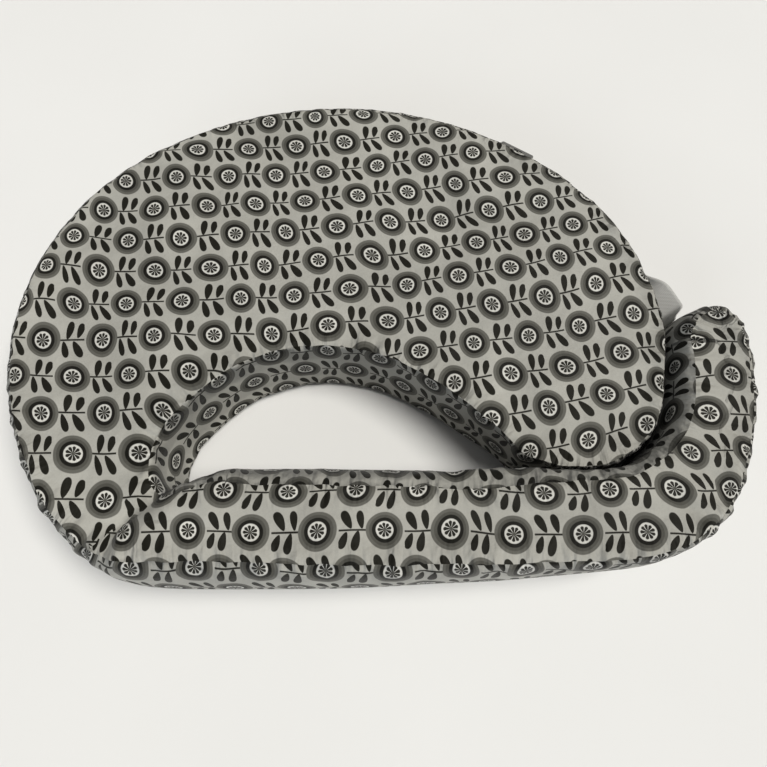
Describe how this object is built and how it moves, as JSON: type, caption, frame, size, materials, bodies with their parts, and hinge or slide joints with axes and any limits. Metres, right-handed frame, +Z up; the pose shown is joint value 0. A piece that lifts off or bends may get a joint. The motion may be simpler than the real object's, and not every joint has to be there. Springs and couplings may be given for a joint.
{
  "type": "nursing pillow",
  "caption": "Firm kidney-shaped feeding cushion with a narrower arm that wraps round the wearer's waist, zipped floral cover, webbing strap and side-release buckle.",
  "frame": {"origin": "middle of the pillow's footprint, on the face it rests on", "axes": "+X along the front arm towards its curled end, +Y towards the back of the cushion, +Z up"},
  "size_m": [0.5992, 0.4346, 0.105],
  "materials": {
    "printed_cotton": "matte",
    "foam": "matte",
    "zip_tape": "matte",
    "zip_plastic": "satin",
    "zip_metal": "satin",
    "webbing": "matte",
    "buckle_plastic": "satin",
    "label_satin": "satin"
  },
  "bodies": {
    "cushion": {"cushion_foam_core": "foam", "cushion_top_panel": "printed_cotton", "cushion_bottom_panel": "printed_cotton", "cushion_outer_band": "printed_cotton", "cushion_waist_band": "printed_cotton", "zip_tape_upper": "zip_tape", "zip_tape_lower": "zip_tape", "zip_teeth_upper": "zip_plastic", "zip_teeth_lower": "zip_plastic", "zip_end_stops": "zip_metal", "socket_webbing": "webbing", "buckle_socket": "buckle_plastic", "care_label": "label_satin"},
    "zip_slider_body": {"zip_slider": "zip_metal"},
    "zip_pull_body": {"zip_pull": "zip_metal"},
    "arm": {"arm_foam_core": "foam", "arm_top_panel": "printed_cotton", "arm_bottom_panel": "printed_cotton", "arm_outer_band": "printed_cotton", "arm_inner_band": "printed_cotton"},
    "arm_tip": {"tip_foam_core": "foam", "tip_top_panel": "printed_cotton", "tip_bottom_panel": "printed_cotton", "tip_band": "printed_cotton"},
    "strap": {"strap_webbing": "webbing"},
    "buckle_plug_body": {"buckle_plug": "buckle_plastic"},
    "prong_upper": {"buckle_prong_upper": "buckle_plastic"},
    "prong_lower": {"buckle_prong_lower": "buckle_plastic"}
  },
  "joints": [
    {"name": "arm_swing", "type": "hinge", "parent": "cushion", "child": "arm", "pos_m": [-0.1593, -0.216, 0.0525], "axis": [0, 0, 1], "range_deg": [-40, 0], "stiffness_Nm_per_rad": 2},
    {"name": "tip_uncurl", "type": "hinge", "parent": "arm", "child": "arm_tip", "pos_m": [0.1817, -0.204, 0.0525], "axis": [0, 0, 1], "range_deg": [-60, 0], "stiffness_Nm_per_rad": 1},
    {"name": "strap_swing", "type": "hinge", "parent": "arm_tip", "child": "strap", "pos_m": [0.25545, 0.00002, 0.04], "axis": [0, 0, 1], "range_deg": [-75, 0]},
    {"name": "plug_swivel", "type": "hinge", "parent": "strap", "child": "buckle_plug_body", "pos_m": [0.18471, 0.13204, 0.04], "axis": [0, 0, 1], "range_deg": [-40, 0]},
    {"name": "prong_upper_flex", "type": "hinge", "parent": "buckle_plug_body", "child": "prong_upper", "pos_m": [0.17237, 0.14314, 0.049], "axis": [-0.6691, -0.7431, 0], "range_deg": [0, 8], "stiffness_Nm_per_rad": 0.05},
    {"name": "prong_lower_flex", "type": "hinge", "parent": "buckle_plug_body", "child": "prong_lower", "pos_m": [0.17237, 0.14314, 0.031], "axis": [-0.6691, -0.7431, 0], "range_deg": [-8, 0], "stiffness_Nm_per_rad": 0.05},
    {"name": "zip_slide", "type": "hinge", "parent": "cushion", "child": "zip_slider_body", "pos_m": [-0.03586, -0.08271, 0.017], "axis": [0, 0, 1], "range_deg": [0, 48]},
    {"name": "zip_pull_swing", "type": "hinge", "parent": "zip_slider_body", "child": "zip_pull_body", "pos_m": [0.05953, 0.20404, 0.017], "axis": [0, 0, 1], "range_deg": [-150, 0]}
  ],
  "couplings": [
    {"joint": "prong_lower_flex", "follows": "prong_upper_flex", "ratio": -1}
  ]
}
